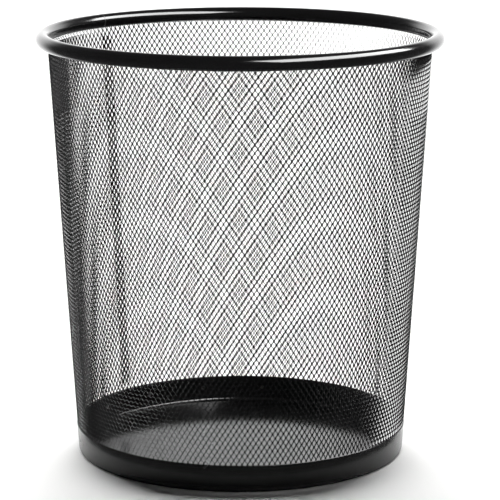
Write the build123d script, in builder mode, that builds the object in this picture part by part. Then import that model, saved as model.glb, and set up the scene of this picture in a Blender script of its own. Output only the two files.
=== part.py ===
from build123d import *
import os
from math import cos, degrees, hypot, radians, sin

# A round, tapered wastebasket: a wall of rolled expanded steel mesh, hung in a slotted tube rim
# and held at the bottom between a pressed pan and an outer band.
# Millimetres, +Z up. The origin is at the middle of the base, on the floor.

# ---- overall sizes ----
rim_diameter = 296.0          # over the rim tube
base_diameter = 240.6         # over the base band, at the floor
height = 311.0                # floor to the top of the rim tube

# ---- rim tube ----
tube_diameter = 10.6
tube_sheet = 0.5
mesh_into_tube = 1.7          # how far the wall's outer face stands outboard of the tube's inner side
hem_outboard = 0.9            # how far the mesh's top edge steps outwards to enter the slot
hem_step_height = 3.0         # the height over which it does
hem_above_centre = 1.3        # where the mesh's top edge ends, above the tube's centre
slot_clearance = 0.25         # between the mesh's edge and each lip of the slot

# ---- mesh wall ----
mesh_thickness = 1.0          # over the raised strands
hem_thickness = 0.5           # where an edge is pressed flat to be held
mesh_foot_height = 5.0        # the mesh's lower edge, above the floor
seam_angle = 138.0            # the lapped seam, back left, from +X
lap_width = 12.0
lap_end_gap = 1.0             # from the lap's inner layer to the band and to the tube

# ---- base ----
band_height = 20.0
band_sheet = 0.6
band_proud = 0.2              # band's outer face outside the mesh's
band_lip = 9.0                # width of the lip turned in under the pan
band_corner_radius = 2.0      # outside the bend, at the floor
band_bead_diameter = 0.9      # rounded top edge
pan_sheet = 0.5
pan_corner_radius = 3.0       # outside the bend, between floor and upstand
pan_below_band = 0.6          # the upstand's edge, below the band's

# ---- welds ----
butt_weld_width = 1.2         # along the hoop, for the tube and for the band
seam_weld_count = 8
base_weld_count = 16
seam_weld_diameter = 1.6       # no wider than the mesh's own bonds
base_weld_diameter = 3.0
weld_height = 0.25
seam_weld_end_margin = 12.0   # from the first and last seam weld to the ends of the lap

# ---- the wall's cone, which every layer follows ----
rim_radius = rim_diameter / 2
base_radius = base_diameter / 2
tube_radius = tube_diameter / 2
tube_centre_radius = rim_radius - tube_radius
tube_centre_height = height - tube_radius
wall_foot_radius = base_radius - band_proud
wall_head_radius = rim_radius - tube_diameter + mesh_into_tube
taper = (wall_head_radius - wall_foot_radius) / tube_centre_height
level_per_thickness = hypot(1, taper)                 # a sheet's level width over its thickness


def wall_radius(z, inset=0.0):
    """Radius of the mesh's outer face at height z, less an inset towards the axis."""
    return wall_foot_radius + taper * z - inset


def wall_point(z, inset=0.0):
    """The same as a point of the half section."""
    return (wall_radius(z, inset), z)


# Insets of the faces held in the base, from the outside in
band_outer = -band_proud
band_inner = band_outer + band_sheet * level_per_thickness
pan_outer = band_inner + hem_thickness
pan_inner = pan_outer + pan_sheet * level_per_thickness
pan_top = band_height - pan_below_band
mesh_shoulder = band_height + band_bead_diameter      # where the mesh is back to full thickness

# The mesh's top edge
hem_top = tube_centre_height + hem_above_centre
hem_foot = tube_centre_height - tube_radius - hem_step_height / 2
hem_head = hem_foot + hem_step_height
hem_outer = -hem_outboard
hem_inner = hem_outer + hem_thickness

os.makedirs("parts", exist_ok=True)


def tube_section():
    """Slotted ring of the rim tube, on the half section plane."""
    with BuildSketch(Plane.XZ) as section:
        with Locations((tube_centre_radius, tube_centre_height)):
            Circle(tube_radius)
            Circle(tube_radius - tube_sheet, mode=Mode.SUBTRACT)
        with BuildLine():
            Polyline(
                wall_point(hem_foot, slot_clearance + mesh_thickness),
                wall_point(hem_foot, -slot_clearance),
                wall_point(hem_head, hem_outer - slot_clearance),
                wall_point(tube_centre_height, hem_outer - slot_clearance),
                wall_point(tube_centre_height, hem_inner + slot_clearance),
                wall_point(hem_head, hem_inner + slot_clearance),
                close=True,
            )
        make_face(mode=Mode.SUBTRACT)
    return section.sketch


def band_section():
    """Strip of the base band: lip under the pan, bend, side and rounded top edge."""
    bead_radius = band_bead_diameter / 2
    bead_height = band_height - bead_radius
    with BuildSketch(Plane.XZ) as section:
        with BuildLine():
            FilletPolyline(
                (base_radius - band_lip, 0),
                wall_point(0, band_outer),
                wall_point(bead_height, band_outer),
                radius=band_corner_radius,
            )
            offset(amount=band_sheet, side=Side.LEFT)
        make_face()
        with Locations(wall_point(bead_height, band_inner - bead_radius * level_per_thickness)):
            Circle(bead_radius)
    return section.sketch


def hoop(section, start_angle, arc):
    """Turn a half section about the axis, from start_angle from +X, over arc degrees."""
    with BuildPart() as turned:
        add(section.rotate(Axis.Z, start_angle))
        revolve(axis=Axis.Z, revolution_arc=arc)
    return turned.part


def outward_plane(angle, z, inset):
    """Plane on the wall's cone, at an angle from +X, looking outwards."""
    lean = radians(angle)
    radius = wall_radius(z, inset)
    outward = Vector(cos(lean), sin(lean), -taper)
    return Plane(
        origin=(radius * cos(lean), radius * sin(lean), z),
        x_dir=(-sin(lean), cos(lean), 0),
        z_dir=outward,
    )


# ---- rim tube and its butt weld ----
rim_weld_arc = degrees(butt_weld_width / tube_centre_radius)

rim_tube = hoop(tube_section(), seam_angle + rim_weld_arc / 2, 360 - rim_weld_arc)
rim_tube.label = "rim_tube"
export_step(rim_tube, "parts/rim_tube.step")

rim_joint_weld = hoop(tube_section(), seam_angle - rim_weld_arc / 2, rim_weld_arc)
rim_joint_weld.label = "rim_joint_weld"
export_step(rim_joint_weld, "parts/rim_joint_weld.step")

# ---- mesh wall, with its edges pressed flat where they are held ----
lap_arc = degrees(lap_width / wall_radius(height / 2))
lap_foot = mesh_shoulder + lap_end_gap
lap_head = hem_foot - lap_end_gap

with BuildPart() as mesh_wall:
    with BuildSketch(Plane.XZ):
        with BuildLine():
            Polyline(
                wall_point(mesh_foot_height, pan_outer),
                wall_point(mesh_foot_height, band_inner),
                wall_point(band_height, band_inner),
                wall_point(mesh_shoulder),
                wall_point(hem_foot),
                wall_point(hem_head, hem_outer),
                wall_point(hem_top, hem_outer),
                wall_point(hem_top, hem_inner),
                wall_point(hem_head, hem_inner),
                wall_point(hem_foot, mesh_thickness),
                wall_point(mesh_shoulder, mesh_thickness),
                wall_point(pan_top, pan_outer),
                close=True,
            )
        make_face()
    revolve(axis=Axis.Z)
    # The seam's second layer, inside the first
    with BuildSketch(Plane.XZ.rotated((0, 0, seam_angle - lap_arc / 2))):
        with BuildLine():
            Polyline(
                wall_point(lap_foot, mesh_thickness),
                wall_point(lap_head, mesh_thickness),
                wall_point(lap_head, 2 * mesh_thickness),
                wall_point(lap_foot, 2 * mesh_thickness),
                close=True,
            )
        make_face()
    revolve(axis=Axis.Z, revolution_arc=lap_arc)
mesh_wall.part.label = "mesh_wall"
export_step(mesh_wall.part, "parts/mesh_wall.step")

# ---- spot welds down the seam, flat discs on the outer layer ----
seam_weld_foot = lap_foot + seam_weld_end_margin
seam_weld_pitch = (lap_head - seam_weld_end_margin - seam_weld_foot) / (seam_weld_count - 1)
seam_weld_planes = [
    outward_plane(seam_angle, seam_weld_foot + step * seam_weld_pitch, 0)
    for step in range(seam_weld_count)
]

with BuildPart() as seam_welds:
    for weld_plane in seam_weld_planes:
        with BuildSketch(weld_plane):
            Circle(seam_weld_diameter / 2)
    extrude(amount=weld_height)
seam_welds.part.label = "seam_welds"
export_step(seam_welds.part, "parts/seam_welds.step")

# ---- base pan ----
with BuildPart() as base_pan:
    with BuildSketch(Plane.XZ):
        with BuildLine():
            FilletPolyline(
                (0, band_sheet),
                wall_point(band_sheet, pan_outer),
                wall_point(pan_top, pan_outer),
                radius=pan_corner_radius,
            )
            offset(amount=pan_sheet, side=Side.LEFT)
        make_face()
    revolve(axis=Axis.Z)
base_pan.part.label = "base_pan"
export_step(base_pan.part, "parts/base_pan.step")

# ---- base band and its butt weld ----
band_weld_arc = degrees(butt_weld_width / base_radius)

base_band = hoop(band_section(), seam_angle + band_weld_arc / 2, 360 - band_weld_arc)
base_band.label = "base_band"
export_step(base_band, "parts/base_band.step")

band_joint_weld = hoop(band_section(), seam_angle - band_weld_arc / 2, band_weld_arc)
band_joint_weld.label = "band_joint_weld"
export_step(band_joint_weld, "parts/band_joint_weld.step")

# ---- spot welds round the base, flat discs on the inside of the pan's upstand ----
base_weld_height = (pan_top + pan_corner_radius + band_sheet) / 2
base_weld_step = 360 / base_weld_count
base_weld_gap = (base_weld_diameter / 2) ** 2 / (2 * wall_radius(base_weld_height, pan_inner))
base_weld_inset = pan_inner + base_weld_gap           # the disc's edge meets the hollow face
base_weld_planes = [
    outward_plane(seam_angle + (step + 0.5) * base_weld_step, base_weld_height, base_weld_inset)
    for step in range(base_weld_count)
]

with BuildPart() as base_welds:
    for weld_plane in base_weld_planes:
        with BuildSketch(weld_plane):
            Circle(base_weld_diameter / 2)
    extrude(amount=-weld_height)
base_welds.part.label = "base_welds"
export_step(base_welds.part, "parts/base_welds.step")
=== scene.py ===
import logging
import math
from dataclasses import dataclass
from enum import Enum

import bmesh
import bpy
from mathutils import Matrix, Vector


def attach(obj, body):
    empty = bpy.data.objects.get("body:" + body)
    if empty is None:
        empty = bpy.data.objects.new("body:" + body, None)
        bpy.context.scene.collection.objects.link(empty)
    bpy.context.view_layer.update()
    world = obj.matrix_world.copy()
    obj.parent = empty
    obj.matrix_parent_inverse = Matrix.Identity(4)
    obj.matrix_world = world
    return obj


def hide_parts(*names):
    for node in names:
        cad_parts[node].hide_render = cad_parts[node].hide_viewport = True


# A round, tapered wastebasket of black powder-coated steel: a wall of rolled expanded mesh, hung in
# a slotted tube rim and held at the bottom between a pressed pan and an outer band.
# Metres, +Z up. The origin is at the middle of the base, on the floor.

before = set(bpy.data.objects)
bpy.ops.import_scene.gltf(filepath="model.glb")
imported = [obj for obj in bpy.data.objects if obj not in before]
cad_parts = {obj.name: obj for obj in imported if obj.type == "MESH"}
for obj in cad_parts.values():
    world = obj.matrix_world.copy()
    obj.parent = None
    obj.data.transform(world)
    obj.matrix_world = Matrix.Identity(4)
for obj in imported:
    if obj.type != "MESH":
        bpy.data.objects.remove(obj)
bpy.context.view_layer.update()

LOG = logging.getLogger("wastebasket")
MM = 0.001
FULL_TURN = 2 * math.pi
ROOT = "root"

SHARP_ANGLE = math.radians(40)  # an edge whose faces turn by more than this stays sharp
SAME_POINT = 0.0001  # mm; points closer than this are one

Profile = list[tuple[float, float]]
Colour = tuple[float, float, float, float]
Sockets = dict[str, bpy.types.NodeSocket]


class Slot(Enum):
    """The record's material slots."""

    RIM = "rim"
    MESH = "mesh"
    BASE = "base"


def srgb(code: str) -> Colour:
    """Turn an sRGB hex colour to linear light.

    Args:
        code: six hex digits after a #.

    Returns:
        Linear red, green, blue and an alpha of 1.
    """
    parts = [int(code[i : i + 2], 16) / 255 for i in (1, 3, 5)]
    linear = [c / 12.92 if c <= 0.04045 else ((c + 0.055) / 1.055) ** 2.4 for c in parts]
    return (linear[0], linear[1], linear[2], 1.0)


def add_node(
    tree: bpy.types.NodeTree, kind: str, feeds: dict | None = None, **settings
) -> bpy.types.Node:
    """Add a node with its settings and links.

    Args:
        tree: the node tree.
        kind: the node's type name.
        feeds: for each input, by name or number, the socket that feeds it or its value.
        settings: the node's own attributes.

    Returns:
        The new node.
    """
    node = tree.nodes.new(kind)
    for name, value in settings.items():
        setattr(node, name, value)
    for key, value in (feeds or {}).items():
        if isinstance(value, bpy.types.NodeSocket):
            tree.links.new(value, node.inputs[key])
        else:
            node.inputs[key].default_value = value
    return node


# ---- finishes ----

PATCH_PITCH = 28.0  # mm; a patch where the skin is duller
PATCH_RANGE = (0.35, 0.7)  # the pattern's values at the glossiest skin and at the dullest
GRAIN_PITCH = 0.9  # mm; a grain of dust, drawn coarse enough to show
GRAIN_RANGE = (0.45, 0.8)  # the pattern's values between the grains and in the thick of one
DUST_SLOPE = (0.5, 1.0)  # how far up a face has to look to hold any dust, and all of it
SCUFF_COVER = 0.25  # of the skin, at the floor
LEAST_SCUFF_HEIGHT = 0.01  # mm; keeps the range below from being empty


@dataclass(frozen=True)
class PowderCoat:
    """Black polyester powder coat, sprayed on steel and cured in an oven.

    The eye gets a deep black with a half-gloss skin. The cured skin keeps a slight orange peel, a
    few paler grains of dust lie on what faces up, and the skin is a little duller in patches.

    Args:
        name: the material's name.
        colour: the coat's body colour.
        roughness: of the skin, where it is at its glossiest.
        dulled: what the duller patches add to that.
        peel_pitch: width of one bump of the orange peel, mm.
        peel_height: height of one bump, mm.
        dust: how much of an upward face the dust covers.
        scuff_height: how high above the floor scuffs from cleaning reach, mm.
        dust_colour: of the dust and the scuffs.
        ior: of the skin.
    """

    name: str
    colour: str = "#0b0b0c"
    roughness: float = 0.2
    dulled: float = 0.12
    peel_pitch: float = 2.0
    peel_height: float = 0.01
    dust: float = 0.0
    scuff_height: float = 0.0
    dust_colour: str = "#8b8a86"
    ior: float = 1.45

    def build(self) -> bpy.types.Material:
        """Make the material.

        Returns:
            The material.
        """
        material = bpy.data.materials.new(self.name)
        material.use_nodes = True
        tree = material.node_tree
        tree.nodes.clear()
        where = add_node(tree, "ShaderNodeTexCoord").outputs["Object"]
        peel = add_node(
            tree,
            "ShaderNodeTexNoise",
            {"Vector": where, "Scale": 1 / (self.peel_pitch * MM), "Detail": 1.0, "Roughness": 0.4},
        )
        bump = add_node(
            tree,
            "ShaderNodeBump",
            {"Height": peel.outputs["Fac"], "Distance": self.peel_height * MM, "Strength": 1.0},
        )
        # Patches where the skin is duller
        patches = add_node(
            tree,
            "ShaderNodeTexNoise",
            {"Vector": where, "Scale": 1 / (PATCH_PITCH * MM), "Detail": 4.0, "Roughness": 0.6},
        )
        roughness = add_node(
            tree,
            "ShaderNodeMapRange",
            {
                "Value": patches.outputs["Fac"],
                "From Min": PATCH_RANGE[0],
                "From Max": PATCH_RANGE[1],
                "To Min": self.roughness,
                "To Max": self.roughness + self.dulled,
            },
        )
        # Grains of dust, thicker on what faces up
        grains = add_node(
            tree,
            "ShaderNodeTexNoise",
            {"Vector": where, "Scale": 1 / (GRAIN_PITCH * MM), "Detail": 3.0, "Roughness": 0.7},
        )
        normal = add_node(tree, "ShaderNodeNewGeometry").outputs["Normal"]
        facing = add_node(tree, "ShaderNodeSeparateXYZ", {0: normal})
        upward = add_node(
            tree,
            "ShaderNodeMapRange",
            {
                "Value": facing.outputs["Z"],
                "From Min": DUST_SLOPE[0],
                "From Max": DUST_SLOPE[1],
                "To Max": self.dust,
            },
        )
        settled = add_node(
            tree,
            "ShaderNodeMapRange",
            {
                "Value": grains.outputs["Fac"],
                "From Min": GRAIN_RANGE[0],
                "From Max": GRAIN_RANGE[1],
            },
        )
        dusty = add_node(
            tree,
            "ShaderNodeMath",
            {0: upward.outputs[0], 1: settled.outputs[0]},
            operation="MULTIPLY",
        )
        # Scuffs from mops and shoes, low down
        height = add_node(tree, "ShaderNodeSeparateXYZ", {0: where})
        low = add_node(
            tree,
            "ShaderNodeMapRange",
            {
                "Value": height.outputs["Z"],
                "From Min": 0.0,
                "From Max": max(self.scuff_height, LEAST_SCUFF_HEIGHT) * MM,
                "To Min": SCUFF_COVER if self.scuff_height else 0.0,
                "To Max": 0.0,
            },
        )
        rubbed = add_node(
            tree,
            "ShaderNodeMath",
            {0: low.outputs[0], 1: patches.outputs["Fac"]},
            operation="MULTIPLY",
        )
        pale = add_node(
            tree,
            "ShaderNodeMath",
            {0: dusty.outputs[0], 1: rubbed.outputs[0]},
            operation="MAXIMUM",
        )
        colour = add_node(
            tree,
            "ShaderNodeMix",
            {"Factor": pale.outputs[0], 6: srgb(self.colour), 7: srgb(self.dust_colour)},
            data_type="RGBA",
        )
        shader = add_node(
            tree,
            "ShaderNodeBsdfPrincipled",
            {
                "Base Color": colour.outputs[2],
                "Roughness": roughness.outputs[0],
                "IOR": self.ior,
                "Normal": bump.outputs[0],
            },
        )
        add_node(tree, "ShaderNodeOutputMaterial", {"Surface": shader.outputs[0]})
        return material


# The whole basket is coated at once, so the finishes differ only in how thick the coat went on
# and how it flowed: smoothest on the tube and the pan, with finer bumps on the narrow strands,
# whose skin also mirrors a little more, and lumpy and dull over the welds.
TUBE_COAT = PowderCoat(
    "powder_coat_tube", roughness=0.12, dulled=0.06, peel_pitch=3.0, peel_height=0.008
)
STRAND_COAT = PowderCoat(
    "powder_coat_strands", roughness=0.2, dulled=0.08, peel_pitch=0.8, peel_height=0.006, ior=1.6
)
PAN_COAT = PowderCoat(
    "powder_coat_pan", roughness=0.12, dulled=0.06, peel_pitch=2.5, peel_height=0.006, dust=0.05
)
BAND_COAT = PowderCoat(
    "powder_coat_band",
    roughness=0.18,
    dulled=0.1,
    peel_pitch=2.5,
    peel_height=0.008,
    scuff_height=6.0,
)
WELD_COAT = PowderCoat(
    "powder_coat_welds", roughness=0.3, dulled=0.15, peel_pitch=0.9, peel_height=0.05
)


@dataclass(frozen=True)
class FloorPaper:
    """Matt white background paper, uncoated, which the floor is covered with.

    The eye gets an even white with no sheen, so nothing lights up the shadow at the base.

    Args:
        name: the material's name.
        colour: the paper's.
        grain: width of a tuft of fibres, mm.
        grain_height: how far one stands up, mm.
    """

    name: str = "background_paper"
    colour: str = "#f4f4f3"
    grain: float = 1.2
    grain_height: float = 0.01

    def build(self) -> bpy.types.Material:
        """Make the material.

        Returns:
            The material.
        """
        material = bpy.data.materials.new(self.name)
        material.use_nodes = True
        tree = material.node_tree
        tree.nodes.clear()
        where = add_node(tree, "ShaderNodeTexCoord").outputs["Object"]
        fibres = add_node(
            tree,
            "ShaderNodeTexNoise",
            {"Vector": where, "Scale": 1 / (self.grain * MM), "Detail": 2.0},
        )
        bump = add_node(
            tree,
            "ShaderNodeBump",
            {"Height": fibres.outputs["Fac"], "Distance": self.grain_height * MM},
        )
        shader = add_node(
            tree,
            "ShaderNodeBsdfPrincipled",
            {
                "Base Color": srgb(self.colour),
                "Roughness": 1.0,
                "Specular IOR Level": 0.0,
                "Normal": bump.outputs[0],
            },
        )
        add_node(tree, "ShaderNodeOutputMaterial", {"Surface": shader.outputs[0]})
        return material


# ---- shapes shared by the sub-assemblies ----


@dataclass(frozen=True)
class WallCone:
    """The cone of the mesh's outer face, which every layer follows, in mm."""

    foot_radius: float = 120.1
    taper: float = 19.0 / 305.7

    def radius(self, z: float, inset: float = 0.0) -> float:
        """Radius at height z, less an inset towards the axis."""
        return self.foot_radius + self.taper * z - inset

    @property
    def slant(self) -> float:
        """Length along the wall for one millimetre of height."""
        return math.hypot(1.0, self.taper)

    @property
    def lean(self) -> float:
        """How far the wall leans out from upright, in degrees."""
        return math.degrees(math.atan(self.taper))


CONE = WallCone()
SEAM_ANGLE = math.radians(138.0)


def arc_points(
    centre: tuple[float, float], radius: float, start: float, end: float, count: int
) -> Profile:
    """Points along an arc of a half section.

    Args:
        centre: radius and height of the arc's centre.
        radius: of the arc.
        start: first angle in degrees, from outwards, turning up.
        end: last angle.
        count: how many points, both ends among them.

    Returns:
        The points, radius and height.
    """
    turns = [math.radians(start + (end - start) * i / (count - 1)) for i in range(count)]
    return [(centre[0] + radius * math.cos(t), centre[1] + radius * math.sin(t)) for t in turns]


def finish_piece(mesh: bpy.types.Mesh, name: str, slot: Slot, node: str) -> None:
    """Put a mesh in the scene as a piece of the object.

    Args:
        mesh: the piece's mesh, in place.
        name: the piece's name.
        slot: the record's slot that it takes its finish from.
        node: the CAD node that it stands for.
    """
    piece = bpy.data.objects.new(name, mesh)
    bpy.context.scene.collection.objects.link(piece)
    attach(piece, ROOT)
    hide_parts(node)
    LOG.info("%s: %d faces, slot %s", name, len(mesh.polygons), slot.value)


def dress_node(name: str, material: bpy.types.Material) -> None:
    """Give a CAD node its finish.

    Args:
        name: the node's name.
        material: its finish.
    """
    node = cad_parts[name]
    node.data.materials.clear()
    node.data.materials.append(material)
    LOG.info("%s: kept from the CAD model", name)


def revolve(
    name: str, outline: Profile, steps: int, start: float = 0.0, arc: float = FULL_TURN
) -> bpy.types.Mesh:
    """Turn a closed half section about the axis.

    Args:
        name: the mesh's name.
        outline: points in mm, counterclockwise with radius to the right. On the axis, radius is 0.
        steps: how many steps round.
        start: first angle, from +X.
        arc: how far it turns. Less than a full turn gets flat ends.

    Returns:
        The mesh, with smooth faces and sharp corners.
    """
    shape = bmesh.new()
    whole = arc == FULL_TURN
    rings = []
    for i in range(steps if whole else steps + 1):
        turn = start + arc * i / steps
        rings.append([
            shape.verts.new((r * MM * math.cos(turn), r * MM * math.sin(turn), z * MM))
            for r, z in outline
        ])
    count = len(outline)
    for i in range(steps):
        near, far = rings[i], rings[(i + 1) % len(rings)]
        for j in range(count):
            k = (j + 1) % count
            shape.faces.new((near[j], far[j], far[k], near[k]))
    if not whole:
        shape.faces.new(list(reversed(rings[0])))
        shape.faces.new(rings[-1])
    bmesh.ops.remove_doubles(shape, verts=shape.verts, dist=SAME_POINT * MM)
    bmesh.ops.recalc_face_normals(shape, faces=shape.faces)
    mesh = bpy.data.meshes.new(name)
    shape.to_mesh(mesh)
    shape.free()
    mesh.shade_smooth()
    mesh.set_sharp_from_angle(angle=SHARP_ANGLE)
    return mesh


# ---- rim ----


@dataclass
class Rim:
    """The rolled rim tube, slotted along its inner underside, and the weld that closes it.

    Lengths are in mm. The slot's two angles are in degrees, from outwards, turning up.
    """

    outer_radius: float = 148.0
    top: float = 311.0
    tube_radius: float = 5.3
    sheet: float = 0.5
    slot_start: float = 224.9
    slot_end: float = 239.6
    weld_width: float = 1.2
    steps_round: int = 360
    steps_section: int = 44

    def build(self) -> None:
        """Build the tube, as a hoop whose section is a slotted ring."""
        centre = (self.outer_radius - self.tube_radius, self.top - self.tube_radius)
        first, last = self.slot_end - 360, self.slot_start
        outside = arc_points(centre, self.tube_radius, first, last, self.steps_section)
        inside = arc_points(
            centre, self.tube_radius - self.sheet, last, first, self.steps_section
        )
        weld_arc = self.weld_width / centre[0]
        mesh = revolve(
            "rim_tube_body",
            outside + inside,
            self.steps_round,
            SEAM_ANGLE + weld_arc / 2,
            FULL_TURN - weld_arc,
        )
        mesh.materials.append(TUBE_COAT.build())
        finish_piece(mesh, "rim_tube_body", Slot.RIM, "rim_tube")

    def dress(self, weld: bpy.types.Material) -> None:
        """Finish the butt weld that closes the tube."""
        dress_node("rim_joint_weld", weld)


# ---- mesh wall ----


@dataclass(frozen=True)
class Spots:
    """What the lattice's tree knows of the points that the cells go on.

    Args:
        points: the points themselves.
        turn: each point's place round the sheet, in columns.
        step: the angle from one column to the next.
        angle: each point's angle, from +X.
        height: each point's height.
        radius: each point's distance from the axis.
    """

    points: bpy.types.NodeSocket
    turn: bpy.types.NodeSocket
    step: bpy.types.NodeSocket
    angle: bpy.types.NodeSocket
    height: bpy.types.NodeSocket
    radius: bpy.types.NodeSocket


@dataclass
class MeshWall:
    """The rolled wall of raised expanded mesh, its two ends lapped at the back left, in mm.

    The sheet is slit and drawn, so that each mesh opening is a diamond between four strands, and
    four strands meet in a bond. Every strand and bond is tilted out of the sheet's face. The lap
    is counted in columns of openings.
    """

    columns_round: float = 197.0
    columns: int = 199
    row_pitch: float = 6.2
    first_row: float = 5.0
    rows: int = 97
    mid_inset: float = 0.5
    mid_height: float = 155.0
    strand_width: float = 0.82
    strand_thickness: float = 0.22
    bond_length: float = 1.25
    tilt: float = math.radians(-50)
    weld_distance: float = 0.03
    sectors: int = 6
    # The lap: how many columns lie double, over how many the first end comes back out, how deep it
    # is tucked, and the heights between which it is fully so
    lap_columns: float = 2.0
    lap_blend: float = 6.0
    lap_depth: float = 0.6
    lap_clear_foot: float = 21.0
    lap_foot: float = 25.0
    lap_head: float = 295.0
    # The edges that are held: heights, step outwards, and what is left of the strands' depth
    foot_pressed: float = 19.5
    foot_raised: float = 21.5
    hem_foot: float = 298.9
    hem_head: float = 301.9
    hem_shift: float = 1.15
    pressed: float = 0.4
    # The solid strip along the top edge
    hem_strip_foot: float = 301.2
    hem_strip_top: float = 307.0
    hem_strip_thickness: float = 0.4
    hem_strip_lead_in: float = 0.15
    hem_strip_steps: int = 360

    @property
    def cell_width(self) -> float:
        """Width of a mesh opening and its strands at half height."""
        return FULL_TURN * CONE.radius(self.mid_height, self.mid_inset) / self.columns_round

    def cell(self) -> bpy.types.Mesh:
        """Build one bond with its four half strands.

        Returns:
            The mesh, round the origin: x along the sheet, y out of it, z up it.
        """
        across = Vector((math.cos(self.tilt), math.sin(self.tilt), 0))
        through = Vector((-math.sin(self.tilt), math.cos(self.tilt), 0))
        width = self.strand_width
        half_thick = self.strand_thickness / 2
        half_bond = self.bond_length / 2
        shape = bmesh.new()

        def ring(z: float) -> list[bmesh.types.BMVert]:
            """Add the bond's corners at a height: three along its front, three back along its rear.

            Args:
                z: the height.

            Returns:
                The six corners.
            """
            front = [across * s * width + through * half_thick for s in (1, 0, -1)]
            rear = [across * s * width - through * half_thick for s in (-1, 0, 1)]
            return [shape.verts.new(corner + Vector((0, 0, z))) for corner in front + rear]

        top, bottom = ring(half_bond), ring(-half_bond)
        for i in range(6):
            shape.faces.new((top[i], bottom[i], bottom[(i + 1) % 6], top[(i + 1) % 6]))
        for side in (1, -1):
            corners = (0, 1, 4, 5) if side > 0 else (1, 2, 3, 4)
            for rise, edge in ((1, top), (-1, bottom)):
                start = across * side * width / 2 + Vector((0, 0, rise * half_bond))
                end = Vector((side * self.cell_width / 4, 0, rise * self.row_pitch / 4))
                run = (end - start).normalized()
                wide = (across - run * across.dot(run)).normalized() * width / 2
                thick = run.cross(wide).normalized() * half_thick
                if thick.dot(through) < 0:
                    thick = -thick
                ends = (wide + thick, thick - wide, -wide - thick, wide - thick)
                tip = [shape.verts.new(end + corner) for corner in ends]
                root = [edge[i] for i in corners]
                for i in range(4):
                    k = (i + 1) % 4
                    shape.faces.new((root[i], root[k], tip[k], tip[i]))
        bmesh.ops.scale(shape, vec=(MM, MM, MM), verts=shape.verts)
        mesh = bpy.data.meshes.new("mesh_cell")
        shape.to_mesh(mesh)
        shape.free()
        return mesh

    @staticmethod
    def lay_spots(tree: bpy.types.NodeTree, given: Sockets) -> Spots:
        """Add the nodes that put one point where each cell goes.

        Args:
            tree: the lattice's tree.
            given: its inputs by name.

        Returns:
            What the tree knows of the points.
        """
        # Which column and row of the sheet each point is
        index = add_node(tree, "GeometryNodeInputIndex").outputs[0]
        column = add_node(
            tree, "FunctionNodeIntegerMath", {0: index, 1: given["Columns"]}, operation="MODULO"
        )
        row = add_node(
            tree, "FunctionNodeIntegerMath", {0: index, 1: given["Columns"]}, operation="DIVIDE_FLOOR"
        )
        odd = add_node(tree, "FunctionNodeIntegerMath", {0: row.outputs[0], 1: 2}, operation="MODULO")
        placed = add_node(
            tree, "ShaderNodeMath", {0: column.outputs[0], 1: given["First Column"]}, operation="ADD"
        )
        turn = add_node(
            tree,
            "ShaderNodeMath",
            {0: odd.outputs[0], 1: 0.5, 2: placed.outputs[0]},
            operation="MULTIPLY_ADD",
        ).outputs[0]
        step = add_node(
            tree, "ShaderNodeMath", {0: FULL_TURN, 1: given["Columns Round"]}, operation="DIVIDE"
        ).outputs[0]
        angle = add_node(
            tree, "ShaderNodeMath", {0: turn, 1: step, 2: given["Start Angle"]}, operation="MULTIPLY_ADD"
        ).outputs[0]
        height = add_node(
            tree,
            "ShaderNodeMath",
            {0: row.outputs[0], 1: given["Row Step"], 2: given["First Row"]},
            operation="MULTIPLY_ADD",
        ).outputs[0]
        radius = add_node(
            tree,
            "ShaderNodeMath",
            {0: height, 1: given["Taper"], 2: given["Foot Radius"]},
            operation="MULTIPLY_ADD",
        ).outputs[0]
        cosine = add_node(tree, "ShaderNodeMath", {0: angle}, operation="COSINE")
        sine = add_node(tree, "ShaderNodeMath", {0: angle}, operation="SINE")
        x = add_node(tree, "ShaderNodeMath", {0: radius, 1: cosine.outputs[0]}, operation="MULTIPLY")
        y = add_node(tree, "ShaderNodeMath", {0: radius, 1: sine.outputs[0]}, operation="MULTIPLY")
        place = add_node(
            tree, "ShaderNodeCombineXYZ", {0: x.outputs[0], 1: y.outputs[0], 2: height}
        )
        count = add_node(
            tree,
            "FunctionNodeIntegerMath",
            {0: given["Columns"], 1: given["Rows"]},
            operation="MULTIPLY",
        )
        points = add_node(
            tree, "GeometryNodePoints", {"Count": count.outputs[0], "Position": place.outputs[0]}
        )
        kept_turn = add_node(
            tree,
            "GeometryNodeStoreNamedAttribute",
            {"Geometry": points.outputs[0], "Name": "sheet_turn", "Value": turn},
            data_type="FLOAT",
            domain="POINT",
        )
        return Spots(kept_turn.outputs[0], turn, step, angle, height, radius)

    @staticmethod
    def place_cells(tree: bpy.types.NodeTree, given: Sockets, spots: Spots) -> bpy.types.NodeSocket:
        """Add the nodes that set a cell on each point and join the cells to a sheet.

        Args:
            tree: the lattice's tree.
            given: its inputs by name.
            spots: the points.

        Returns:
            The socket of the joined sheet.
        """
        # The lap's inner layer stops short of the band and of the tube
        lapped = add_node(
            tree, "FunctionNodeCompare", {0: spots.turn, 1: given["Lap Columns"]}, operation="LESS_THAN"
        )
        below = add_node(
            tree, "FunctionNodeCompare", {0: spots.height, 1: given["Lap Foot"]}, operation="LESS_THAN"
        )
        above = add_node(
            tree, "FunctionNodeCompare", {0: spots.height, 1: given["Lap Head"]}, operation="GREATER_THAN"
        )
        beyond = add_node(
            tree, "FunctionNodeBooleanMath", {0: below.outputs[0], 1: above.outputs[0]}, operation="OR"
        )
        laid = add_node(
            tree,
            "FunctionNodeBooleanMath",
            {0: lapped.outputs[0], 1: beyond.outputs[0]},
            operation="NAND",
        )

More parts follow.
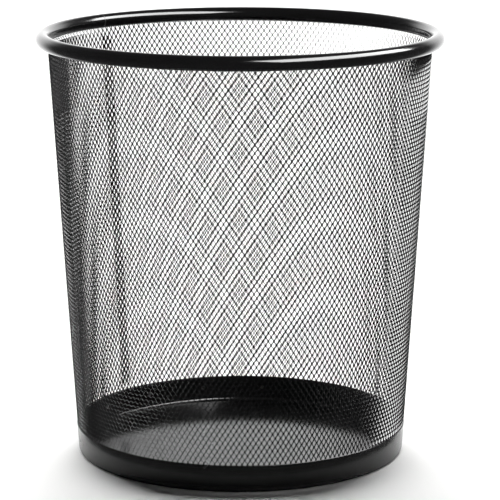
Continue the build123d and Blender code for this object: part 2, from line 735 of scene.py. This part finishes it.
        # Each cell leans with the wall, faces outwards, and is as wide as the pitch at its height
        lean = add_node(tree, "ShaderNodeMath", {0: given["Taper"]}, operation="ARCTANGENT")
        lean_in = add_node(
            tree, "ShaderNodeMath", {0: lean.outputs[0], 1: -1.0}, operation="MULTIPLY"
        )
        outwards = add_node(
            tree, "ShaderNodeMath", {0: spots.angle, 1: math.pi / 2}, operation="SUBTRACT"
        )
        facing = add_node(
            tree, "ShaderNodeCombineXYZ", {0: lean_in.outputs[0], 1: 0.0, 2: outwards.outputs[0]}
        )
        turned = add_node(tree, "FunctionNodeEulerToRotation", {0: facing.outputs[0]})
        pitch = add_node(tree, "ShaderNodeMath", {0: spots.radius, 1: spots.step}, operation="MULTIPLY")
        widen = add_node(
            tree, "ShaderNodeMath", {0: pitch.outputs[0], 1: given["Cell Width"]}, operation="DIVIDE"
        )
        slant = add_node(tree, "ShaderNodeMath", {0: lean.outputs[0]}, operation="COSINE")
        stretch = add_node(
            tree, "ShaderNodeMath", {0: 1.0, 1: slant.outputs[0]}, operation="DIVIDE"
        )
        scale = add_node(
            tree, "ShaderNodeCombineXYZ", {0: widen.outputs[0], 1: 1.0, 2: stretch.outputs[0]}
        )
        cells = add_node(
            tree,
            "GeometryNodeInstanceOnPoints",
            {
                "Points": spots.points,
                "Selection": laid.outputs[0],
                "Instance": given["Cell"],
                "Rotation": turned.outputs[0],
                "Scale": scale.outputs[0],
            },
        )
        real = add_node(tree, "GeometryNodeRealizeInstances", {0: cells.outputs[0]})
        welded = add_node(
            tree,
            "GeometryNodeMergeByDistance",
            {"Geometry": real.outputs[0], "Distance": given["Weld Distance"]},
        )
        return welded.outputs[0]

    @staticmethod
    def hold_edges(
        tree: bpy.types.NodeTree, given: Sockets, sheet: bpy.types.NodeSocket
    ) -> bpy.types.NodeSocket:
        """Add the nodes that shape the sheet where it is held.

        Its lower and upper edges are pressed flat, the upper one steps outwards into the tube, and
        the sheet's first end is tucked inside the other.

        Args:
            tree: the lattice's tree.
            given: its inputs by name.
            sheet: the socket of the joined sheet.

        Returns:
            The socket of the shaped sheet.
        """
        # How far each corner stands out of the sheet's mid face
        spot = add_node(tree, "GeometryNodeInputPosition").outputs[0]
        split = add_node(tree, "ShaderNodeSeparateXYZ", {0: spot})
        level = add_node(
            tree, "ShaderNodeCombineXYZ", {0: split.outputs[0], 1: split.outputs[1], 2: 0.0}
        )
        outward = add_node(
            tree, "ShaderNodeVectorMath", {0: level.outputs[0]}, operation="NORMALIZE"
        )
        now = add_node(tree, "ShaderNodeVectorMath", {0: level.outputs[0]}, operation="LENGTH")
        face_radius = add_node(
            tree,
            "ShaderNodeMath",
            {0: split.outputs[2], 1: given["Taper"], 2: given["Foot Radius"]},
            operation="MULTIPLY_ADD",
        )
        raised = add_node(
            tree,
            "ShaderNodeMath",
            {0: now.outputs["Value"], 1: face_radius.outputs[0]},
            operation="SUBTRACT",
        )

        # How firmly it is held, and how much flatter that makes it
        hem = add_node(
            tree,
            "ShaderNodeMapRange",
            {
                "Value": split.outputs[2],
                "From Min": given["Hem Foot"],
                "From Max": given["Hem Head"],
                "To Min": 0.0,
                "To Max": 1.0,
            },
            interpolation_type="SMOOTHSTEP",
        )
        foot = add_node(
            tree,
            "ShaderNodeMapRange",
            {
                "Value": split.outputs[2],
                "From Min": given["Foot Raised"],
                "From Max": given["Foot Pressed"],
                "To Min": 0.0,
                "To Max": 1.0,
            },
            interpolation_type="SMOOTHSTEP",
        )
        held = add_node(
            tree, "ShaderNodeMath", {0: hem.outputs[0], 1: foot.outputs[0]}, operation="MAXIMUM"
        )
        flatten = add_node(
            tree,
            "ShaderNodeMath",
            {0: held.outputs[0], 1: given["Flattened"]},
            operation="MULTIPLY",
        )
        flat_part = add_node(
            tree,
            "ShaderNodeMath",
            {0: raised.outputs[0], 1: flatten.outputs[0]},
            operation="MULTIPLY",
        )

        # How deep the sheet's first end is tucked in
        stored = add_node(
            tree, "GeometryNodeInputNamedAttribute", {"Name": "sheet_turn"}, data_type="FLOAT"
        )
        lap_end = add_node(
            tree,
            "ShaderNodeMath",
            {0: given["Lap Columns"], 1: given["Lap Blend"]},
            operation="ADD",
        )
        tucked = add_node(
            tree,
            "ShaderNodeMapRange",
            {
                "Value": stored.outputs[0],
                "From Min": given["Lap Columns"],
                "From Max": lap_end.outputs[0],
                "To Min": given["Lap Depth"],
                "To Max": 0.0,
            },
            interpolation_type="SMOOTHSTEP",
        )
        clear_foot = add_node(
            tree,
            "ShaderNodeMapRange",
            {
                "Value": split.outputs[2],
                "From Min": given["Lap Clear Foot"],
                "From Max": given["Lap Foot"],
            },
            interpolation_type="SMOOTHSTEP",
        )
        clear_head = add_node(
            tree,
            "ShaderNodeMapRange",
            {
                "Value": split.outputs[2],
                "From Min": given["Hem Foot"],
                "From Max": given["Lap Head"],
            },
            interpolation_type="SMOOTHSTEP",
        )
        clear = add_node(
            tree,
            "ShaderNodeMath",
            {0: clear_foot.outputs[0], 1: clear_head.outputs[0]},
            operation="MULTIPLY",
        )
        inside = add_node(
            tree,
            "ShaderNodeMath",
            {0: tucked.outputs[0], 1: clear.outputs[0]},
            operation="MULTIPLY",
        )

        # The three moves together, in or out
        out_hem = add_node(
            tree,
            "ShaderNodeMath",
            {0: hem.outputs[0], 1: given["Hem Shift"]},
            operation="MULTIPLY",
        )
        shift = add_node(
            tree,
            "ShaderNodeMath",
            {0: out_hem.outputs[0], 1: inside.outputs[0]},
            operation="SUBTRACT",
        )
        moved = add_node(
            tree,
            "ShaderNodeMath",
            {0: shift.outputs[0], 1: flat_part.outputs[0]},
            operation="SUBTRACT",
        )
        offset = add_node(
            tree,
            "ShaderNodeVectorMath",
            {0: outward.outputs[0], "Scale": moved.outputs[0]},
            operation="SCALE",
        )
        shaped = add_node(
            tree,
            "GeometryNodeSetPosition",
            {"Geometry": sheet, "Offset": offset.outputs[0]},
        )
        return shaped.outputs[0]

    def lattice_tree(self) -> tuple[bpy.types.NodeTree, dict[str, str]]:
        """Build the node tree that lays the cells out as a rolled sheet.

        Returns:
            The tree, and the identifier of each of its inputs by name.
        """
        tree = bpy.data.node_groups.new("expanded_mesh", "GeometryNodeTree")
        face = tree.interface
        face.new_socket("Cell", in_out="INPUT", socket_type="NodeSocketGeometry")
        sizes = {
            "Columns": "NodeSocketInt",
            "Rows": "NodeSocketInt",
            "First Column": "NodeSocketInt",
            "Columns Round": "NodeSocketFloat",
            "Start Angle": "NodeSocketFloat",
            "First Row": "NodeSocketFloat",
            "Row Step": "NodeSocketFloat",
            "Foot Radius": "NodeSocketFloat",
            "Taper": "NodeSocketFloat",
            "Cell Width": "NodeSocketFloat",
            "Lap Columns": "NodeSocketFloat",
            "Lap Blend": "NodeSocketFloat",
            "Lap Depth": "NodeSocketFloat",
            "Lap Clear Foot": "NodeSocketFloat",
            "Lap Foot": "NodeSocketFloat",
            "Lap Head": "NodeSocketFloat",
            "Foot Pressed": "NodeSocketFloat",
            "Foot Raised": "NodeSocketFloat",
            "Hem Foot": "NodeSocketFloat",
            "Hem Head": "NodeSocketFloat",
            "Hem Shift": "NodeSocketFloat",
            "Flattened": "NodeSocketFloat",
            "Weld Distance": "NodeSocketFloat",
            "Finish": "NodeSocketMaterial",
        }
        names = {}
        for name, kind in sizes.items():
            names[name] = face.new_socket(name, in_out="INPUT", socket_type=kind).identifier
        face.new_socket("Mesh", in_out="OUTPUT", socket_type="NodeSocketGeometry")
        group_input = add_node(tree, "NodeGroupInput")
        given = {socket.name: socket for socket in group_input.outputs}
        spots = self.lay_spots(tree, given)
        sheet = self.place_cells(tree, given, spots)
        coated = add_node(
            tree,
            "GeometryNodeSetMaterial",
            {"Geometry": self.hold_edges(tree, given, sheet), "Material": given["Finish"]},
        )
        add_node(tree, "NodeGroupOutput", {0: coated.outputs[0]})
        return tree, names

    def build_lattice(self, finish: bpy.types.Material) -> None:
        """Build the sheet as one piece for each sector.

        Args:
            finish: the strands' material.
        """
        tree, names = self.lattice_tree()
        maker = bpy.data.objects.new("mesh_maker", self.cell())
        bpy.context.scene.collection.objects.link(maker)
        lap_turn = FULL_TURN * self.lap_columns / self.columns_round
        values = {
            "Rows": self.rows,
            "Columns Round": self.columns_round,
            "Start Angle": SEAM_ANGLE - lap_turn / 2,
            "First Row": self.first_row * MM,
            "Row Step": self.row_pitch / 2 * MM,
            "Foot Radius": CONE.radius(0, self.mid_inset) * MM,
            "Taper": CONE.taper,
            "Cell Width": self.cell_width * MM,
            "Lap Columns": self.lap_columns,
            "Lap Blend": self.lap_blend,
            "Lap Depth": self.lap_depth * MM,
            "Lap Clear Foot": self.lap_clear_foot * MM,
            "Lap Foot": self.lap_foot * MM,
            "Lap Head": self.lap_head * MM,
            "Foot Pressed": self.foot_pressed * MM,
            "Foot Raised": self.foot_raised * MM,
            "Hem Foot": self.hem_foot * MM,
            "Hem Head": self.hem_head * MM,
            "Hem Shift": self.hem_shift * MM,
            "Flattened": 1 - self.pressed,
            "Weld Distance": self.weld_distance * MM,
            "Finish": finish,
        }
        bounds = [round(self.columns * i / self.sectors) for i in range(self.sectors + 1)]
        for i in range(self.sectors):
            modifier = maker.modifiers.new("expanded_mesh", "NODES")
            modifier.node_group = tree
            for key, value in values.items():
                modifier[names[key]] = value
            modifier[names["First Column"]] = bounds[i]
            modifier[names["Columns"]] = bounds[i + 1] - bounds[i]
            maker.update_tag()
            graph = bpy.context.evaluated_depsgraph_get()
            mesh = bpy.data.meshes.new_from_object(maker.evaluated_get(graph), depsgraph=graph)
            maker.modifiers.remove(modifier)
            self.close_strands(mesh)
            name = f"mesh_sheet_{i + 1}"
            mesh.name = name
            finish_piece(mesh, name, Slot.MESH, "mesh_wall")
        bpy.data.objects.remove(maker)

    @staticmethod
    def close_strands(mesh: bpy.types.Mesh) -> None:
        """Close the cut ends of the strands and face every face outwards.

        Args:
            mesh: the sheet's mesh, which is changed.
        """
        shape = bmesh.new()
        shape.from_mesh(mesh)
        rims = [edge for edge in shape.edges if edge.is_boundary]
        bmesh.ops.holes_fill(shape, edges=rims, sides=6)  # four at a strand, six at a bond
        bmesh.ops.recalc_face_normals(shape, faces=shape.faces)
        shape.to_mesh(mesh)
        shape.free()
        mesh.shade_smooth()
        mesh.set_sharp_from_angle(angle=SHARP_ANGLE)

    def build_hem(self, finish: bpy.types.Material) -> None:
        """Build the sheet's solid edge strip, which the tube grips.

        Args:
            finish: the strands' material.
        """
        half = self.hem_strip_thickness / 2
        mid = self.mid_inset - self.hem_shift
        steps = [
            (self.hem_strip_foot, mid + self.hem_strip_lead_in),
            (self.hem_head, mid),
            (self.hem_strip_top, mid),
        ]
        outer = [(CONE.radius(z, inset - half), z) for z, inset in steps]
        inner = [(CONE.radius(z, inset + half), z) for z, inset in reversed(steps)]
        mesh = revolve("mesh_hem", outer + inner, self.hem_strip_steps)
        mesh.materials.append(finish)
        finish_piece(mesh, "mesh_hem", Slot.MESH, "mesh_wall")

    def build(self, weld: bpy.types.Material) -> None:
        """Build the wall and finish its seam's spot welds.

        Args:
            weld: the welds' material.
        """
        finish = STRAND_COAT.build()
        self.build_lattice(finish)
        self.build_hem(finish)
        dress_node("seam_welds", weld)


# ---- base ----


@dataclass
class Base:
    """The pressed pan inside the mesh, the band round it and their welds, in mm."""

    base_radius: float = 120.3
    band_height: float = 20.0
    band_sheet: float = 0.6
    band_proud: float = 0.2
    band_lip: float = 9.0
    band_corner: float = 2.0
    bead_radius: float = 0.45
    hem_thickness: float = 0.5
    pan_sheet: float = 0.5
    pan_corner: float = 3.0
    pan_below_band: float = 0.6
    pan_rings: tuple[float, float] = (40.0, 80.0)
    weld_width: float = 1.2
    steps_round: int = 360

    @property
    def band_inner(self) -> float:
        """Inset of the band's inner face."""
        return -self.band_proud + self.band_sheet * CONE.slant

    @property
    def pan_outer(self) -> float:
        """Inset of the pan upstand's outer face."""
        return self.band_inner + self.hem_thickness

    def build_band(self) -> None:
        """Build the band: lip under the pan, bend, side and rounded top edge."""
        lean = CONE.lean
        corner = self.band_corner
        bend_z = corner
        bend_r = CONE.radius(bend_z, -self.band_proud) - corner * CONE.slant
        bead_z = self.band_height - self.bead_radius
        bead_r = CONE.radius(bead_z, self.band_inner - self.bead_radius * CONE.slant)
        lip_r = self.base_radius - self.band_lip
        outline = [(lip_r, self.band_sheet), (lip_r, 0.0)]
        outline += arc_points((bend_r, bend_z), corner, -90, -lean, 8)
        outline += arc_points((bead_r, bead_z), self.bead_radius, -lean, 180 - lean, 11)
        outline += arc_points((bend_r, bend_z), corner - self.band_sheet, -lean, -90, 6)
        weld_arc = self.weld_width / self.base_radius
        mesh = revolve(
            "base_band_body",
            outline,
            self.steps_round,
            SEAM_ANGLE + weld_arc / 2,
            FULL_TURN - weld_arc,
        )
        mesh.materials.append(BAND_COAT.build())
        finish_piece(mesh, "base_band_body", Slot.BASE, "base_band")

    def build_pan(self) -> None:
        """Build the pan: floor, pressed corner and low upstand."""
        lean = CONE.lean
        floor = self.band_sheet
        corner = self.pan_corner
        top = self.band_height - self.pan_below_band
        bend_z = floor + corner
        bend_r = CONE.radius(bend_z, self.pan_outer) - corner * CONE.slant
        outline = [(0.0, floor + self.pan_sheet), (0.0, floor)]
        outline += [(r, floor) for r in self.pan_rings]
        outline += arc_points((bend_r, bend_z), corner, -90, -lean, 10)
        outline += [(CONE.radius(top, self.pan_outer), top)]
        outline += [(CONE.radius(top, self.pan_outer + self.pan_sheet), top)]
        outline += arc_points((bend_r, bend_z), corner - self.pan_sheet, -lean, -90, 10)
        outline += [(r, floor + self.pan_sheet) for r in reversed(self.pan_rings)]
        mesh = revolve("base_pan_body", outline, self.steps_round)
        mesh.materials.append(PAN_COAT.build())
        finish_piece(mesh, "base_pan_body", Slot.BASE, "base_pan")

    def build(self, weld: bpy.types.Material) -> None:
        """Build the band and the pan and finish their welds.

        Args:
            weld: the welds' material.
        """
        self.build_band()
        self.build_pan()
        dress_node("band_joint_weld", weld)
        dress_node("base_welds", weld)


# ---- studio ----


@dataclass(frozen=True)
class SoftBank:
    """A rectangular soft light.

    Args:
        name: the light's name.
        azimuth: from the camera's side towards its right, degrees.
        elevation: above the horizon, degrees.
        distance: from the object, m.
        size: width and height, m.
        radiance: of its face, in units of the white floor's.
    """

    name: str
    azimuth: float
    elevation: float
    distance: float
    size: tuple[float, float]
    radiance: float


@dataclass
class Studio:
    """White floor, soft light and the camera, in metres and degrees."""

    camera_place: tuple[float, float, float] = (0.0, -1.789, 0.532)
    camera_pitch: float = -12.11
    camera_yaw: float = -0.226
    camera_clip: tuple[float, float] = (0.05, 40.0)
    focal_length: float = 178.99
    sensor: float = 36.0
    # The sweep: how bright it looks, and what the gloss of the coat sees behind and in front
    white: float = 1.15
    back_light: float = 1.9
    front_light: float = 0.15
    sweep_edge: tuple[float, float] = (0.6, 0.85)
    sweep_top: tuple[float, float] = (0.3, 0.5)
    sun_strength: float = 10.8
    sun_elevation: float = 27.0
    sun_spread: float = 76.0
    sun_distance: float = 2.0
    near_floor: float = 0.15
    far_floor: float = 8.0
    floor_steps: int = 96
    bank_aim: float = 0.2
    bank: SoftBank = SoftBank("side_bank", 67.0, 46.0, 1.6, (2.8, 0.9), 21.0)

    def build_floor(self) -> None:
        """Lay the floor of white paper. The gloss of the coat shows only the disc under the base."""
        paper = FloorPaper().build()
        count = self.floor_steps
        turns = [FULL_TURN * i / count for i in range(count)]
        for name, radii, mirrored in (
            ("floor_near", (self.near_floor,), True),
            ("floor", (self.near_floor, self.far_floor), False),
        ):
            shape = bmesh.new()
            rings = [
                [shape.verts.new((radius * math.cos(t), radius * math.sin(t), 0)) for t in turns]
                for radius in radii
            ]
            if len(rings) == 1:
                shape.faces.new(rings[0])
            else:
                for i in range(count):
                    k = (i + 1) % count
                    shape.faces.new((rings[0][i], rings[1][i], rings[1][k], rings[0][k]))
            mesh = bpy.data.meshes.new(name)
            shape.to_mesh(mesh)
            shape.free()
            mesh.materials.append(paper)
            floor = bpy.data.objects.new(name, mesh)
            bpy.context.scene.collection.objects.link(floor)
            floor.visible_glossy = mirrored

    def build_world(self) -> None:
        """Light the set from a white sweep behind the basket, with the camera's side dark."""
        world = bpy.data.worlds.new("white_sweep")
        world.use_nodes = True
        bpy.context.scene.world = world
        tree = world.node_tree
        tree.nodes.clear()
        way = add_node(tree, "ShaderNodeTexCoord").outputs["Generated"]
        split = add_node(tree, "ShaderNodeSeparateXYZ", {0: way})
        behind = add_node(
            tree,
            "ShaderNodeMapRange",
            {
                "Value": split.outputs["Y"],
                "From Min": self.sweep_edge[0],
                "From Max": self.sweep_edge[1],
            },
            interpolation_type="SMOOTHSTEP",
        )
        low = add_node(
            tree,
            "ShaderNodeMapRange",
            {
                "Value": split.outputs["Z"],
                "From Min": self.sweep_top[1],
                "From Max": self.sweep_top[0],
            },
            interpolation_type="SMOOTHSTEP",
        )
        sweep = add_node(
            tree, "ShaderNodeMath", {0: behind.outputs[0], 1: low.outputs[0]}, operation="MULTIPLY"
        )
        mirrored = add_node(
            tree,
            "ShaderNodeMath",
            {0: sweep.outputs[0], 1: self.back_light, 2: self.front_light},
            operation="MULTIPLY_ADD",
        )
        direct = add_node(tree, "ShaderNodeLightPath").outputs["Is Camera Ray"]
        strength = add_node(
            tree,
            "ShaderNodeMix",
            {"Factor": direct, 2: mirrored.outputs[0], 3: self.white},
            data_type="FLOAT",
        )
        sky = add_node(
            tree,
            "ShaderNodeBackground",
            {"Color": srgb("#ffffff"), "Strength": strength.outputs[0]},
        )
        add_node(tree, "ShaderNodeOutputWorld", {"Surface": sky.outputs[0]})
        world.cycles_visibility.diffuse = False

    def build_bank(self) -> None:
        """Hang the soft bank, which only the gloss of the coat shows."""
        bank = self.bank
        azimuth, elevation = math.radians(bank.azimuth), math.radians(bank.elevation)
        away = Vector((
            math.sin(azimuth) * math.cos(elevation),
            -math.cos(azimuth) * math.cos(elevation),
            math.sin(elevation),
        ))
        lamp = bpy.data.lights.new(bank.name, "AREA")
        lamp.shape = "RECTANGLE"
        lamp.size, lamp.size_y = bank.size
        lamp.energy = bank.radiance * math.pi * bank.size[0] * bank.size[1]
        fitting = bpy.data.objects.new(bank.name, lamp)
        bpy.context.scene.collection.objects.link(fitting)
        fitting.location = Vector((0, 0, self.bank_aim)) + away * bank.distance
        fitting.rotation_mode = "QUATERNION"
        fitting.rotation_quaternion = (-away).to_track_quat("-Z", "Y")
        fitting.visible_camera = False
        fitting.visible_diffuse = False

    def build_sun(self) -> None:
        """Light the floor from a broad soft source behind and above."""
        lamp = bpy.data.lights.new("sweep_light", "SUN")
        lamp.energy = self.sun_strength
        lamp.angle = math.radians(self.sun_spread)
        sun = bpy.data.objects.new("sweep_light", lamp)
        bpy.context.scene.collection.objects.link(sun)
        elevation = math.radians(self.sun_elevation)
        away = Vector((0.0, math.cos(elevation), math.sin(elevation)))
        sun.location = away * self.sun_distance
        sun.rotation_mode = "QUATERNION"
        sun.rotation_quaternion = (-away).to_track_quat("-Z", "Y")
        sun.visible_glossy = False
        sun.visible_camera = False

    def build_camera(self) -> None:
        """Set the camera."""
        lens = bpy.data.cameras.new("camera")
        lens.lens = self.focal_length
        lens.sensor_width = self.sensor
        lens.clip_start, lens.clip_end = self.camera_clip
        camera = bpy.data.objects.new("camera", lens)
        bpy.context.scene.collection.objects.link(camera)
        camera.location = self.camera_place
        aim = (
            Matrix.Rotation(math.radians(self.camera_yaw), 3, "Z")
            @ Matrix.Rotation(math.radians(90 + self.camera_pitch), 3, "X")
        )
        camera.rotation_euler = aim.to_euler()
        bpy.context.scene.camera = camera

    def build(self) -> None:
        """Build the set."""
        self.build_floor()
        self.build_world()
        self.build_bank()
        self.build_sun()
        self.build_camera()
        bpy.context.scene.view_settings.view_transform = "Standard"


def main() -> None:
    """Build the wastebasket and its set."""
    logging.basicConfig(level=logging.INFO, format="%(name)s: %(message)s")
    weld = WELD_COAT.build()
    rim = Rim()
    rim.build()
    rim.dress(weld)
    MeshWall().build(weld)
    Base().build(weld)
    Studio().build()


if __name__ == "__main__":
    main()
